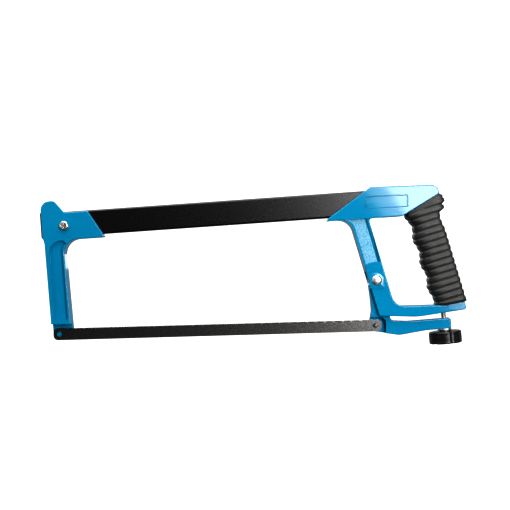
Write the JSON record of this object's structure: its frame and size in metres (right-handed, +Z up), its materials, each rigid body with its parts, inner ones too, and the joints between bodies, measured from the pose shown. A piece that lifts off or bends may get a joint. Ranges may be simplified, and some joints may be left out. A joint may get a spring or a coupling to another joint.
{
  "type": "hacksaw",
  "caption": "Full-size hacksaw: tilted rectangular tube, cast front bracket and closed D-handle with a rubber grip, and a screw-drawn lever that tensions a pinned blade.",
  "frame": {"origin": "midway between the blade's two pin holes, on the line that joins them and in the saw's mid-plane", "axes": "+X along the blade from the nose to the handle, +Z up from the blade to the tube, +Y to the far side; the blade goes on from -Y"},
  "size_m": [0.4014, 0.031, 0.1515],
  "materials": {
    "blue_paint": "gloss enamel over die-cast aluminium",
    "tube_paint": "satin black",
    "cap_plastic": "moulded",
    "grip_rubber": "moulded, ribbed and finely textured",
    "knob_plastic": "moulded",
    "blade_steel": "dark lacquered",
    "pin_steel": "ground",
    "rivet_steel": "bright plated",
    "plated_steel": "zinc plated"
  },
  "bodies": {
    "frame": {"frame_tube": "tube_paint", "tube_end_cap": "cap_plastic", "front_bracket": "blue_paint", "bracket_screw": "plated_steel", "bracket_lock_washer": "plated_steel", "bracket_nut": "plated_steel", "front_blade_pin": "blue_paint", "handle_frame": "blue_paint", "handle_grip": "grip_rubber", "socket_screw": "plated_steel", "thread_insert": "plated_steel", "lever_rivet": "rivet_steel", "rivet_washer": "plated_steel"},
    "lever": {"tension_lever": "blue_paint", "rear_blade_pin": "pin_steel"},
    "blade": {"saw_blade": "blade_steel"},
    "washer": {"screw_washer": "plated_steel"},
    "knob": {"tension_screw": "plated_steel", "tension_knob": "knob_plastic"}
  },
  "joints": [
    {"name": "screw_travel", "type": "slide", "parent": "frame", "child": "washer", "axis": [0.061, 0, -0.9981], "range_m": [0, 0.00177]},
    {"name": "knob_turn", "type": "hinge", "parent": "washer", "child": "knob", "pos_m": [0.2154, 0, 0.007], "axis": [0.061, 0, -0.9981], "range_deg": [0, 798.31]},
    {"name": "lever_swing", "type": "hinge", "parent": "frame", "child": "lever", "pos_m": [0.1511, 0, 0.0433], "axis": [0, 1, 0], "range_deg": [0, 1.46]},
    {"name": "blade_lift_off", "type": "slide", "parent": "frame", "child": "blade", "axis": [0, -1, 0], "range_m": [0, 0.01]}
  ],
  "couplings": [
    {"joint": "knob_turn", "follows": "screw_travel", "rad_per_m": 7854},
    {"joint": "lever_swing", "follows": "screw_travel", "rad_per_m": 14.32}
  ]
}
